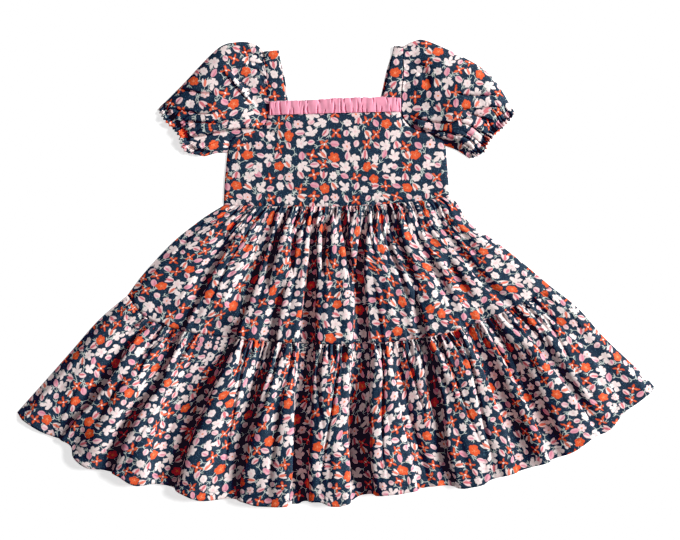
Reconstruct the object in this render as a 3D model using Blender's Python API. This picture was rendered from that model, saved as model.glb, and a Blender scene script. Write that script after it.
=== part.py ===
"""A child's puff sleeve dress in printed cotton, laid flat on its back on a table.

The dress lies in the XY plane with its neck towards +Y and its front facing up (+Z). Every piece
of cloth that is cut and sewn is one solid: a wall of even upright thickness through a grid of
points worked out from the sizes below. Sizes are in millimetres until the last step.
"""

import math
from collections import namedtuple

import bmesh
import bpy
import numpy as np

MM = 0.001

# ---------------------------------------------------------------- driving sizes
WALL = 1.4  # upright thickness of a layer of cloth
GAP = 0.3  # clearance between two pieces at a seam
SEAM = GAP / 2  # what each piece gives up of that clearance
LAYER = WALL + GAP  # underside of what lies on the back panels

BODICE_PUFF = 2.6  # rise of the front chest panel in its middle
WAIST_LOFT = 1.5  # rise of the skirt where it leaves the waist
SKIRT_LOFT = 12.0  # rise of the upper tier's folds
SEAM_LOFT = 8.0  # rise at the seam between the tiers
TIER_LOFT = 16.5  # rise of the lower tier's folds
GATHER_RISE = 1.1  # half the height of the small gathers below a seam
SLEEVE_LOFT = 25.0  # rise of the puffed sleeves
CUFF_LOFT = 7.5  # height of the open wrist end
RUFFLE_LENGTH = 17.5  # how far the neck ruffle hangs below its seam
RUFFLE_END = 0.9  # how far the ruffle's ends stop short of the armholes
RUFFLE_PLEAT = 2.4  # height of the ruffle's pleats
FOLD_RADIUS = 0.7  # inside bend of a strap at the shoulder
BACK_LEG_SHOWS = 2.8  # how far a strap's back leg shows beside its front leg

CHEST_COLUMNS = 13  # grid columns of the front chest panel, which the ruffle lies on
FRONT_GRID = (73, 9)  # grid columns and rows of each front tier
BACK_GRID = (25, 4)  # grid columns and rows of each back tier
GATHERS = 18  # small gathers across a tier
RUFFLE_PLEATS = 17

NAVY = (0.028, 0.055, 0.095)
PINK = (0.90, 0.27, 0.42)

# ---------------------------------------------------------------- outlines, seen from above
# Each armhole runs from the shoulder fold to the underarm. The first STRAP_KNOTS points lie along
# the strap, the rest along the chest panels.
STRAP_KNOTS = 5
LEFT_ARMHOLE = (
    (-90.0, 277.5),
    (-89.5, 261.0),
    (-87.5, 246.5),
    (-85.5, 230.5),
    (-85.0, 215.0),
    (-85.0, 199.5),
    (-91.5, 184.5),
    (-106.0, 177.0),
    (-122.0, 173.0),
    (-133.5, 165.5),
    (-136.5, 150.5),
)
RIGHT_ARMHOLE = (
    (84.0, 283.5),
    (84.5, 266.0),
    (85.0, 248.5),
    (83.5, 233.5),
    (82.5, 219.5),
    (82.5, 200.5),
    (92.0, 185.5),
    (107.0, 177.5),
    (123.0, 172.5),
    (133.5, 168.0),
    (137.5, 159.5),
)
LEFT_SIDE = (LEFT_ARMHOLE[-1], (-138.8, 128.0), (-140.5, 105.5), (-141.2, 84.5))
RIGHT_SIDE = (RIGHT_ARMHOLE[-1], (139.5, 138.0), (141.2, 115.5), (142.0, 95.5))
LEFT_STRAP_INSIDE = ((-71.8, 278.5), (-69.8, 263.0), (-67.5, 247.0), (-65.0, 231.0), (-63.2, 216.0))
RIGHT_STRAP_INSIDE = ((72.5, 284.5), (69.0, 266.0), (65.2, 248.0), (62.0, 233.0), (58.8, 219.0))
WAIST = (LEFT_SIDE[-1], (-60.0, 83.0), (10.0, 83.0), (80.0, 87.5), RIGHT_SIDE[-1])

SKIRT_LEFT = (WAIST[0], (-160.5, 72.5), (-174.0, 63.0), (-205.0, 38.0), (-240.0, 0.6), (-262.5, -29.0))
SKIRT_RIGHT = (WAIST[-1], (152.0, 87.5), (168.0, 62.0), (198.0, 41.0), (230.0, 16.0), (270.0, -17.5))
TIER_SEAM = (
    SKIRT_LEFT[-1],
    (-232.0, -60.0),
    (-170.0, -77.0),
    (-80.0, -86.5),
    (0.0, -89.5),
    (81.0, -85.5),
    (155.0, -70.5),
    (217.5, -45.5),
    SKIRT_RIGHT[-1],
)
TIER_LEFT = (SKIRT_LEFT[-1], (-298.0, -59.5), (-331.0, -97.0), (-364.0, -134.5), (-401.0, -176.0))
TIER_RIGHT = (SKIRT_RIGHT[-1], (304.0, -44.5), (337.5, -82.0), (385.0, -127.0), (401.0, -144.5))
HEM = (
    TIER_LEFT[-1],
    (-392.0, -186.5),
    (-345.0, -209.5),
    (-330.0, -231.5),
    (-273.0, -252.0),
    (-230.0, -264.5),
    (-167.5, -284.0),
    (-95.0, -291.5),
    (-45.0, -289.0),
    (5.0, -291.5),
    (32.0, -280.5),
    (120.0, -268.5),
    (184.0, -264.5),
    (230.0, -248.0),
    (297.5, -223.0),
    (342.0, -197.0),
    (391.0, -154.0),
    TIER_RIGHT[-1],
)

# A sleeve's edges run from the armhole to the wrist end: over the cap, and under the arm.
LEFT_CUFF = (-223.5, 205.5)
LEFT_CAP = (LEFT_ARMHOLE[0], (-104.0, 288.0), (-126.0, 289.5), (-150.0, 280.5), (-195.0, 234.0), LEFT_CUFF)
LEFT_UNDER = (LEFT_ARMHOLE[-1], (-150.0, 150.0), (-164.5, 146.0))
LEFT_WRIST = (LEFT_CAP[-1], (-213.0, 189.5), (-197.5, 173.0), (-190.0, 153.0), LEFT_UNDER[-1])
RIGHT_CUFF = (225.0, 200.5)
RIGHT_CAP = (RIGHT_ARMHOLE[0], (98.0, 290.5), (114.0, 291.0), (160.0, 270.5), (195.0, 247.0), RIGHT_CUFF)
RIGHT_UNDER = (RIGHT_ARMHOLE[-1], (152.0, 154.0), (168.0, 143.5))
RIGHT_WRIST = (RIGHT_CAP[-1], (211.0, 184.0), (194.0, 167.5), (184.0, 150.0), RIGHT_UNDER[-1])

# ---------------------------------------------------------------- creases
# A crease is a soft trough along a bend from start through middle to end. Its depth is a share of
# the cloth's rise there, so 1 presses it down to the layer below.
Crease = namedtuple("Crease", "start middle end width depth")

SKIRT_CREASES = (
    Crease((-136, 36), (-168, -20), (-196, -62), 9, 0.75),
    Crease((-90, 72), (-98, 28), (-117, -34), 11, 0.80),
    Crease((-68, 68), (-78, 18), (-96, -34), 7, 0.55),
    Crease((-30, 74), (-31, 5), (-36, -76), 10, 0.90),
    Crease((10, 76), (12, 48), (18, 12), 7, 0.55),
    Crease((31, 76), (29, 0), (34, -80), 12, 0.95),
    Crease((66, 72), (76, 20), (84, -30), 9, 0.55),
    Crease((99, 78), (112, 44), (122, 10), 7, 0.60),
    Crease((128, 80), (150, 40), (166, 4), 8, 0.65),
    Crease((100, 10), (112, -28), (118, -66), 9, 0.55),
    Crease((150, 4), (186, -22), (214, -44), 8, 0.60),
    Crease((-254, -62), (-286, -116), (-322, -176), 9, 0.75),
    Crease((-200, -78), (-224, -130), (-296, -270), 12, 0.90),
    Crease((-128, -90), (-158, -150), (-206, -300), 18, 0.80),
    Crease((-82, -92), (-90, -160), (-116, -312), 13, 0.65),
    Crease((-38, -94), (-41, -170), (-42, -316), 13, 0.95),
    Crease((34, -92), (34, -180), (32, -312), 16, 1.00),
    Crease((80, -90), (98, -150), (134, -300), 16, 0.75),
    Crease((120, -84), (134, -120), (154, -190), 9, 0.50),
    Crease((178, -70), (206, -140), (248, -268), 12, 0.80),
    Crease((228, -52), (246, -110), (306, -250), 12, 0.70),
    Crease((258, -56), (284, -100), (318, -160), 10, 0.65),
    Crease((302, -66), (326, -100), (368, -150), 9, 0.60),
)
LEFT_SLEEVE_CREASES = (
    Crease((-146, 262), (-122, 236), (-104, 200), 8, 0.55),
    Crease((-172, 174), (-140, 182), (-106, 180), 7, 0.75),
    Crease((-200, 212), (-182, 208), (-160, 206), 6, 0.45),
)
RIGHT_SLEEVE_CREASES = (
    Crease((102, 196), (122, 190), (152, 194), 7, 0.70),
    Crease((108, 256), (104, 236), (103, 212), 6, 0.45),
    Crease((206, 204), (184, 198), (160, 196), 6, 0.45),
)


# ---------------------------------------------------------------- curves and grids
def through(points, steps):
    """Points of a smooth curve through the given ones, with so many steps from one to the next."""
    knots = np.array(points, float)
    ahead = 2 * knots[0] - knots[1]
    behind = 2 * knots[-1] - knots[-2]
    held = np.vstack([ahead, knots, behind])
    found = [knots[0]]
    for a, b, c, d in zip(held, held[1:], held[2:], held[3:]):
        for step in range(1, steps + 1):
            t = step / steps
            bend = (2 * a - 5 * b + 4 * c - d) * t**2 + (3 * b - a - 3 * c + d) * t**3
            found.append(b + ((c - a) * t + bend) / 2)
    return np.array(found)


def even(points, count):
    """So many points, evenly spaced along a smooth curve through the given ones."""
    fine = through(points, 12)
    along = np.concatenate([[0], np.cumsum(np.linalg.norm(np.diff(fine, axis=0), axis=1))])
    wanted = np.linspace(0, along[-1], count)
    return np.stack([np.interp(wanted, along, fine[:, axis]) for axis in (0, 1)], axis=1)


def patch(top, bottom, left, right):
    """A grid of plan points between four edges: rows run from top to bottom, columns left to right."""
    v = np.linspace(0, 1, len(left))[:, None, None]
    u = np.linspace(0, 1, len(top))[None, :, None]
    across = (1 - u) * left[:, None] + u * right[:, None]
    down = (1 - v) * top[None] + v * bottom[None]
    corners = (1 - v) * ((1 - u) * top[0] + u * top[-1]) + v * ((1 - u) * bottom[0] + u * bottom[-1])
    return across + down - corners


def towards(steps):
    return steps / np.linalg.norm(steps, axis=-1, keepdims=True)


def square_in(edge, neighbours):
    """Unit steps from an edge's points to the side its neighbours are on, square to the edge."""
    run = towards(np.gradient(edge, axis=0))
    inward = neighbours - edge
    return towards(inward - np.sum(inward * run, axis=1, keepdims=True) * run)


def inset(plan, by=SEAM):
    """A grid drawn in by a seam's clearance along all four edges."""
    drawn = plan.copy()
    drawn[0] += by * square_in(plan[0], plan[1])
    drawn[-1] += by * square_in(plan[-1], plan[-2])
    drawn[:, 0] += by * square_in(plan[:, 0], plan[:, 1])
    drawn[:, -1] += by * square_in(plan[:, -1], plan[:, -2])
    return drawn


def shares(rows, columns):
    """How far down and how far across each point of a grid is, from 0 to 1."""
    return np.meshgrid(np.linspace(0, 1, rows), np.linspace(0, 1, columns), indexing="ij")


def rise(t):
    """A smooth step from 0 to 1."""
    t = np.clip(t, 0, 1)
    return t * t * (3 - 2 * t)


def trough(plan, crease):
    """How deep a crease presses each plan point, from 0 to 1: full on its line, none well away from it."""
    start, middle, end = (np.array(p, float) for p in (crease.start, crease.middle, crease.end))
    pull = 2 * middle - (start + end) / 2
    deepest = np.zeros(plan.shape[:-1])
    for t in np.linspace(0, 1, 15):
        on_line = (1 - t) ** 2 * start + 2 * t * (1 - t) * pull + t**2 * end
        away = np.linalg.norm(plan - on_line, axis=-1) / crease.width
        fade = math.sin(math.pi * (0.12 + 0.76 * t)) ** 0.5
        deepest = np.maximum(deepest, fade * np.exp(-(away**2)))
    return crease.depth * deepest


def pressed(plan, creases):
    """What the creases together leave of the cloth's rise."""
    left = np.ones(plan.shape[:-1])
    for crease in creases:
        left *= 1 - trough(plan, crease)
    return left


# ---------------------------------------------------------------- solids
def material(name, colour, roughness=0.72):
    made = bpy.data.materials.new(name)
    made.use_nodes = True
    shader = made.node_tree.nodes["Principled BSDF"]
    shader.inputs["Base Color"].default_value = (*colour, 1)
    shader.inputs["Roughness"].default_value = roughness
    shader.inputs["Metallic"].default_value = 0
    return made


def piece(name, form, colour):
    """Turns a closed form into the named object, with its faces outwards and its own material."""
    bmesh.ops.recalc_face_normals(form, faces=form.faces[:])
    mesh = bpy.data.meshes.new(name)
    form.to_mesh(mesh)
    form.free()
    mesh.materials.append(material(name + "_cloth", colour))
    mesh.shade_smooth()
    mesh.set_sharp_from_angle(angle=math.radians(40))
    bpy.context.scene.collection.objects.link(bpy.data.objects.new(name, mesh))


def sheet(name, plan, underside, colour):
    """A wall of cloth over a grid: its underside, raised upright by the wall's thickness."""
    rows, columns = underside.shape
    form = bmesh.new()
    points = [
        [form.verts.new((x * MM, y * MM, z * MM)) for (x, y), z in zip(plan_row, z_row)]
        for plan_row, z_row in zip(plan, underside)
    ]
    for i in range(rows - 1):
        for j in range(columns - 1):
            form.faces.new((points[i][j], points[i][j + 1], points[i + 1][j + 1], points[i + 1][j]))
    grown = bmesh.ops.extrude_face_region(form, geom=form.faces[:])
    raised = [v for v in grown["geom"] if isinstance(v, bmesh.types.BMVert)]
    bmesh.ops.translate(form, verts=raised, vec=(0, 0, WALL * MM))
    piece(name, form, colour)


def tube(name, outer, inner, colour):
    """A wall between two stacks of closed rings, open at both ends."""
    form = bmesh.new()
    shells = [[[form.verts.new(p * MM) for p in ring] for ring in stack] for stack in (outer, inner)]
    count = len(outer[0])
    for shell in shells:
        for ring, following in zip(shell, shell[1:]):
            for j in range(count):
                k = (j + 1) % count
                form.faces.new((ring[j], ring[k], following[k], following[j]))
    for end in (0, -1):
        for j in range(count):
            k = (j + 1) % count
            form.faces.new((shells[0][end][j], shells[0][end][k], shells[1][end][k], shells[1][end][j]))
    piece(name, form, colour)


# ---------------------------------------------------------------- chest panels and ruffle
def chest_plan(columns):
    """The chest panels' grid: its side rows sit on the armhole's and the side seam's own points."""
    left = np.array(LEFT_ARMHOLE[STRAP_KNOTS - 1 :] + LEFT_SIDE[1:])
    right = np.array(RIGHT_ARMHOLE[STRAP_KNOTS - 1 :] + RIGHT_SIDE[1:])
    top = np.linspace(left[0], right[0], columns)
    return patch(top, even(WAIST, columns), left, right)


def chest_rise(plan):
    """How far the front chest panel stands off the back one: a low pillow, down at its edges."""
    rows, columns = plan.shape[:2]
    down, across = shares(rows, columns)
    return BODICE_PUFF * (4 * across * (1 - across)) ** 0.5 * (0.35 + 0.65 * rise(3 * (1 - down)))


def bodice():
    front = chest_plan(CHEST_COLUMNS)
    sheet("bodice_front", inset(front), LAYER + chest_rise(front), NAVY)
    back = chest_plan(5)
    sheet("bodice_back", inset(back), np.zeros(back.shape[:2]), NAVY)


def neck_ruffle():
    """A pleated strip on the front chest panel, hanging from the seam at the straps' lower ends."""
    rows, columns = 4, 4 * RUFFLE_PLEATS + 1
    down, across = shares(rows, columns)
    left = np.array(LEFT_ARMHOLE[STRAP_KNOTS - 1]) + (RUFFLE_END, 0)
    right = np.array(RIGHT_ARMHOLE[STRAP_KNOTS - 1]) - (RUFFLE_END, 0)
    run = np.linspace(left, right, columns)
    plan = np.repeat(run[None], rows, axis=0)
    plan[..., 1] -= SEAM + RUFFLE_LENGTH * down
    uneven = across + 0.012 * np.sin(9.3 * across * math.pi) + 0.006 * np.sin(23.1 * across * math.pi)
    pleats = 0.5 - 0.5 * np.cos(2 * math.pi * RUFFLE_PLEATS * uneven)
    panel = chest_plan(CHEST_COLUMNS)
    chest = np.interp(across, np.linspace(0, 1, CHEST_COLUMNS), chest_rise(panel)[0])
    base = LAYER + chest + WALL + GAP
    sheet("neck_ruffle", plan, base + RUFFLE_PLEAT * pleats * (0.35 + 0.65 * down), PINK)


# ---------------------------------------------------------------- straps
def strap(name, armhole, inside):
    """A band folded over at the shoulder: a front leg down to the front panel and a back leg below it."""
    outer_edge = np.array(armhole[:STRAP_KNOTS])
    inner_edge = np.array(inside)
    columns = 4
    reach = FOLD_RADIUS + WALL
    neckward = np.sign(inner_edge[0, 0] - outer_edge[0, 0])
    outer, inner = [], []
    for share in np.linspace(0, 1, columns):
        line = outer_edge + share * (inner_edge - outer_edge)
        line[:, 0] += SEAM * (1 - 2 * share) * neckward
        line[-1, 1] += SEAM
        centre = line[0] - (0, reach)
        legs = line[1:]
        settle = 1 - rise((centre[1] - legs[:, 1]) / 25)
        front_under = LAYER + (2 * FOLD_RADIUS - GAP) * settle
        middle = WALL + FOLD_RADIUS
        front_top = [(*p, z + WALL) for p, z in zip(legs[::-1], front_under[::-1])]
        front_below = [(*p, z) for p, z in zip(legs[::-1], front_under[::-1])]
        slipped = legs.copy()
        slipped[:, 0] += BACK_LEG_SHOWS * share * neckward * rise((centre[1] - legs[:, 1]) / 30)
        back_bottom = [(*p, 0) for p in slipped]
        back_top = [(*p, WALL) for p in slipped]
        outer.append(front_top + arc(centre, middle, reach) + back_bottom)
        inner.append(front_below + arc(centre, middle, FOLD_RADIUS) + back_top)
    folded_band(name, np.array(outer), np.array(inner))


def arc(centre, height, radius):
    """Points round the shoulder fold, from its upper side to its lower one."""
    turns = np.radians(np.linspace(60, -60, 5))
    return [(centre[0], centre[1] + radius * math.cos(a), height + radius * math.sin(a)) for a in turns]


def folded_band(name, outer, inner):
    """Closes the outer and inner faces of a folded band along its two sides and its two ends."""
    form = bmesh.new()
    sides = [[[form.verts.new(p * MM) for p in line] for line in shell] for shell in (outer, inner)]
    length = len(outer[0])
    for shell in sides:
        for line, following in zip(shell, shell[1:]):
            for j in range(length - 1):
                form.faces.new((line[j], line[j + 1], following[j + 1], following[j]))
    outside, inside = sides
    for edge in (0, -1):
        for j in range(length - 1):
            k = j + 1
            form.faces.new((outside[edge][j], outside[edge][k], inside[edge][k], inside[edge][j]))
    for end in (0, -1):
        for i in range(len(outer) - 1):
            k = i + 1
            form.faces.new((outside[i][end], outside[k][end], inside[k][end], inside[i][end]))
    piece(name, form, NAVY)


# ---------------------------------------------------------------- sleeves
def sleeve(name, armhole, cap, under, wrist, creases):
    """A puffed tube: rings that follow the armhole at one end and the elastic wrist at the other."""
    stations = 11
    start = np.array(armhole)
    ends = even(wrist, len(start))
    plan = inset(patch(start, ends, even(cap, stations), even(under, stations)))
    along, across = shares(*plan.shape[:2])
    swell = 1 - np.abs(2 * across - 1) ** 2.6
    crown = SLEEVE_LOFT * rise(along / 0.42) * (1 - rise((along - 0.5) / 0.5))
    mouth = CUFF_LOFT * rise((along - 0.3) / 0.7)
    fine = 1.2 * np.sin(across * math.pi * 14) * rise((along - 0.6) / 0.4)
    lift = (crown + mouth) * swell * pressed(plan, creases) + fine * swell
    outer, inner = [], []
    for i in range(stations):
        ring = plan[i]
        lower = ring[::-1]
        drawn = WALL * towards(ring[-1] - ring[0])
        upper_z = LAYER + lift[i]
        middle_z = (LAYER + WALL) / 2
        first, last = ring[0] - drawn / 3, ring[-1] + drawn / 3
        outer.append(
            [(*p, z + WALL) for p, z in zip(ring, upper_z)]
            + [(*last, middle_z)]
            + [(*p, 0) for p in lower]
            + [(*first, middle_z)]
        )
        close = ring.copy()
        close[0] += drawn
        close[-1] -= drawn
        inner.append(
            [(*p, z) for p, z in zip(close, upper_z)]
            + [(*(close[-1] + drawn / 3), middle_z)]
            + [(*p, WALL) for p in close[::-1]]
            + [(*(close[0] - drawn / 3), middle_z)]
        )
    tube(name, np.array(outer), np.array(inner), NAVY)


# ---------------------------------------------------------------- skirt tiers
def folds(plan, loft, gathers):
    """How far a tier's front stands off its back: rolled folds, uneven in height, with gathers on them."""
    across = shares(*plan.shape[:2])[1]
    side = rise(np.minimum(across, 1 - across) * 9) ** 0.8
    crest = 0.78 + 0.14 * np.sin(23 * across + 0.6) + 0.08 * np.sin(57 * across)
    uneven = across + 0.008 * np.sin(31 * across) + 0.004 * np.sin(77 * across)
    pleat = 1 + np.sin(2 * math.pi * GATHERS * uneven)
    return side * (loft * crest * pressed(plan, SKIRT_CREASES) + gathers * pleat)


def skirt_plan(columns, rows):
    left, right = even(SKIRT_LEFT, rows), even(SKIRT_RIGHT, rows)
    return patch(even(WAIST, columns), even(TIER_SEAM, columns), left, right)


def tier_plan(columns, rows):
    left, right = even(TIER_LEFT, rows), even(TIER_RIGHT, rows)
    return patch(even(TIER_SEAM, columns), even(HEM, columns), left, right)


def skirt():
    plan = skirt_plan(*FRONT_GRID)
    down = shares(*plan.shape[:2])[0]
    loft = WAIST_LOFT + (SKIRT_LOFT - WAIST_LOFT) * rise(down * 2)
    loft -= (SKIRT_LOFT - SEAM_LOFT) * rise(down * 2.5 - 1.5)
    raised = folds(plan, loft, GATHER_RISE * (1 - rise(down * 1.8)))
    sheet("skirt_front", inset(plan), LAYER + raised, NAVY)
    plan = skirt_plan(*BACK_GRID)
    sheet("skirt_back", inset(plan), np.zeros(plan.shape[:2]), NAVY)


def tier():
    plan = tier_plan(*FRONT_GRID)
    down = shares(*plan.shape[:2])[0]
    loft = SEAM_LOFT + (TIER_LOFT - SEAM_LOFT) * rise(down * 2)
    raised = folds(plan, loft, GATHER_RISE * rise(down * 8) * (1 - rise(down * 2)))
    sheet("tier_front", inset(plan), LAYER + raised, NAVY)
    plan = tier_plan(*BACK_GRID)
    sheet("tier_back", inset(plan), np.zeros(plan.shape[:2]), NAVY)


for old in list(bpy.data.objects):
    bpy.data.objects.remove(old)

bodice()
neck_ruffle()
strap("strap_left", LEFT_ARMHOLE, LEFT_STRAP_INSIDE)
strap("strap_right", RIGHT_ARMHOLE, RIGHT_STRAP_INSIDE)
sleeve("sleeve_left", LEFT_ARMHOLE, LEFT_CAP, LEFT_UNDER, LEFT_WRIST, LEFT_SLEEVE_CREASES)
sleeve("sleeve_right", RIGHT_ARMHOLE, RIGHT_CAP, RIGHT_UNDER, RIGHT_WRIST, RIGHT_SLEEVE_CREASES)
skirt()
tier()
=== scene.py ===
"""The looks of a child's puff sleeve dress: printed navy cotton laid flat, with a pink gathered ruffle.

Each cut piece is a thin shell of cotton on the form of its solid. Its grid of points, its main
creases and its gathers come from the tables below. Lengths are in millimetres, in the part's own
frame, until a mesh is made. Only the flat cuts of SHEETS, the table, the lamps and the camera are
in metres. +X is to the right, +Y towards the neck and +Z up from the table.
"""

import math

import bpy
import numpy as np
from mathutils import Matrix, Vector


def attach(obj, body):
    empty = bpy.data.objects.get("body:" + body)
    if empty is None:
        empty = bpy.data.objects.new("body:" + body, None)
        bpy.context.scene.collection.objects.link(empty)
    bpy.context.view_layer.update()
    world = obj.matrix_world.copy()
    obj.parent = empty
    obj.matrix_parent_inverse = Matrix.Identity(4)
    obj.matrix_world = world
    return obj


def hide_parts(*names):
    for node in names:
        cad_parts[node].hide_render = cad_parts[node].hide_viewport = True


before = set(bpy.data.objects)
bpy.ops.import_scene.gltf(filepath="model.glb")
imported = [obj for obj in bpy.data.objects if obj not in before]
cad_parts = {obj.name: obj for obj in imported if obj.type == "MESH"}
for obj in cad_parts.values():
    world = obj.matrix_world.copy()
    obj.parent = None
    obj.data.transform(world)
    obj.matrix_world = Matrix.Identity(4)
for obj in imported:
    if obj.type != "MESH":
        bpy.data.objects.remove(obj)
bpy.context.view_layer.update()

MM = 0.001
COTTON = 0.35  # thickness of the cotton
LAYER = 1.7  # height of the layer that lies on the back panels
BACK_LIES = 0.45  # height of the back panels over the table
PULL = 0.9  # how far cloth moves down a slope of 1 when it is drawn along
STEEPEST = 1.8  # the slope beyond which it is drawn no further

# -------- outlines, seen from above
STRAP_KNOTS = 5  # the first points of an armhole, which a strap's outer edge follows
LEFT_ARMHOLE = (
    (-90, 277.5), (-89.5, 261), (-87.5, 246.5), (-85.5, 230.5), (-85, 215), (-85, 199.5),
    (-91.5, 184.5), (-106, 177), (-122, 173), (-133.5, 165.5), (-136.5, 150.5),
)
RIGHT_ARMHOLE = (
    (84, 283.5), (84.5, 266), (85, 248.5), (83.5, 233.5), (82.5, 219.5), (82.5, 200.5),
    (92, 185.5), (107, 177.5), (123, 172.5), (133.5, 168), (137.5, 159.5),
)
LEFT_SIDE = (LEFT_ARMHOLE[-1], (-138.8, 128), (-140.5, 105.5), (-141.2, 84.5))
RIGHT_SIDE = (RIGHT_ARMHOLE[-1], (139.5, 138), (141.2, 115.5), (142, 95.5))
LEFT_STRAP_INSIDE = ((-71.8, 278.5), (-69.8, 263), (-67.5, 247), (-65, 231), (-63.2, 216))
RIGHT_STRAP_INSIDE = ((72.5, 284.5), (69, 266), (65.2, 248), (62, 233), (58.8, 219))
WAIST = (LEFT_SIDE[-1], (-60, 83), (10, 83), (80, 87.5), RIGHT_SIDE[-1])
SKIRT_LEFT = (WAIST[0], (-160.5, 72.5), (-174, 63), (-205, 38), (-240, 0.6), (-262.5, -29))
SKIRT_RIGHT = (WAIST[-1], (152, 87.5), (168, 62), (198, 41), (230, 16), (270, -17.5))
TIER_SEAM = (
    SKIRT_LEFT[-1], (-232, -60), (-170, -77), (-80, -86.5), (0, -89.5), (81, -85.5),
    (155, -70.5), (217.5, -45.5), SKIRT_RIGHT[-1],
)
TIER_LEFT = (SKIRT_LEFT[-1], (-298, -59.5), (-331, -97), (-364, -134.5), (-401, -176))
TIER_RIGHT = (SKIRT_RIGHT[-1], (304, -44.5), (337.5, -82), (385, -127), (401, -144.5))
HEM = (
    TIER_LEFT[-1], (-392, -185.5), (-368, -201), (-345, -209), (-331, -217),
    (-327, -231), (-311, -243), (-290, -247), (-273, -252), (-252, -265),
    (-230, -264.5), (-207.5, -268), (-190, -276), (-167.5, -284), (-132.5, -282.5),
    (-112, -287), (-95, -291), (-51, -291), (-41, -287.5), (-20, -286),
    (-7, -291), (8, -291), (21, -285.5), (33, -279.5), (59, -277), (86, -274.5),
    (119, -268.5), (140, -267), (160, -269.5), (184, -264.5), (193, -258.5),
    (230, -248), (270, -234.5), (297.5, -223), (320, -207), (342, -197),
    (360, -176), (377, -164), (393, -151.5), TIER_RIGHT[-1],
)
LEFT_CAP = (
    LEFT_ARMHOLE[0], (-104, 288), (-126, 289.5), (-150, 280.5), (-195, 234), (-223.5, 205.5),
)
LEFT_UNDER = (LEFT_ARMHOLE[-1], (-150, 150), (-164.5, 146))
LEFT_WRIST = (LEFT_CAP[-1], (-213, 189.5), (-197.5, 173), (-190, 153), LEFT_UNDER[-1])
RIGHT_CAP = (
    RIGHT_ARMHOLE[0], (98, 290.5), (114, 291), (160, 270.5), (195, 247), (225, 200.5),
)
RIGHT_UNDER = (RIGHT_ARMHOLE[-1], (152, 154), (168, 143.5))
RIGHT_WRIST = (RIGHT_CAP[-1], (211, 184), (194, 167.5), (184, 150), RIGHT_UNDER[-1])

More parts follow.
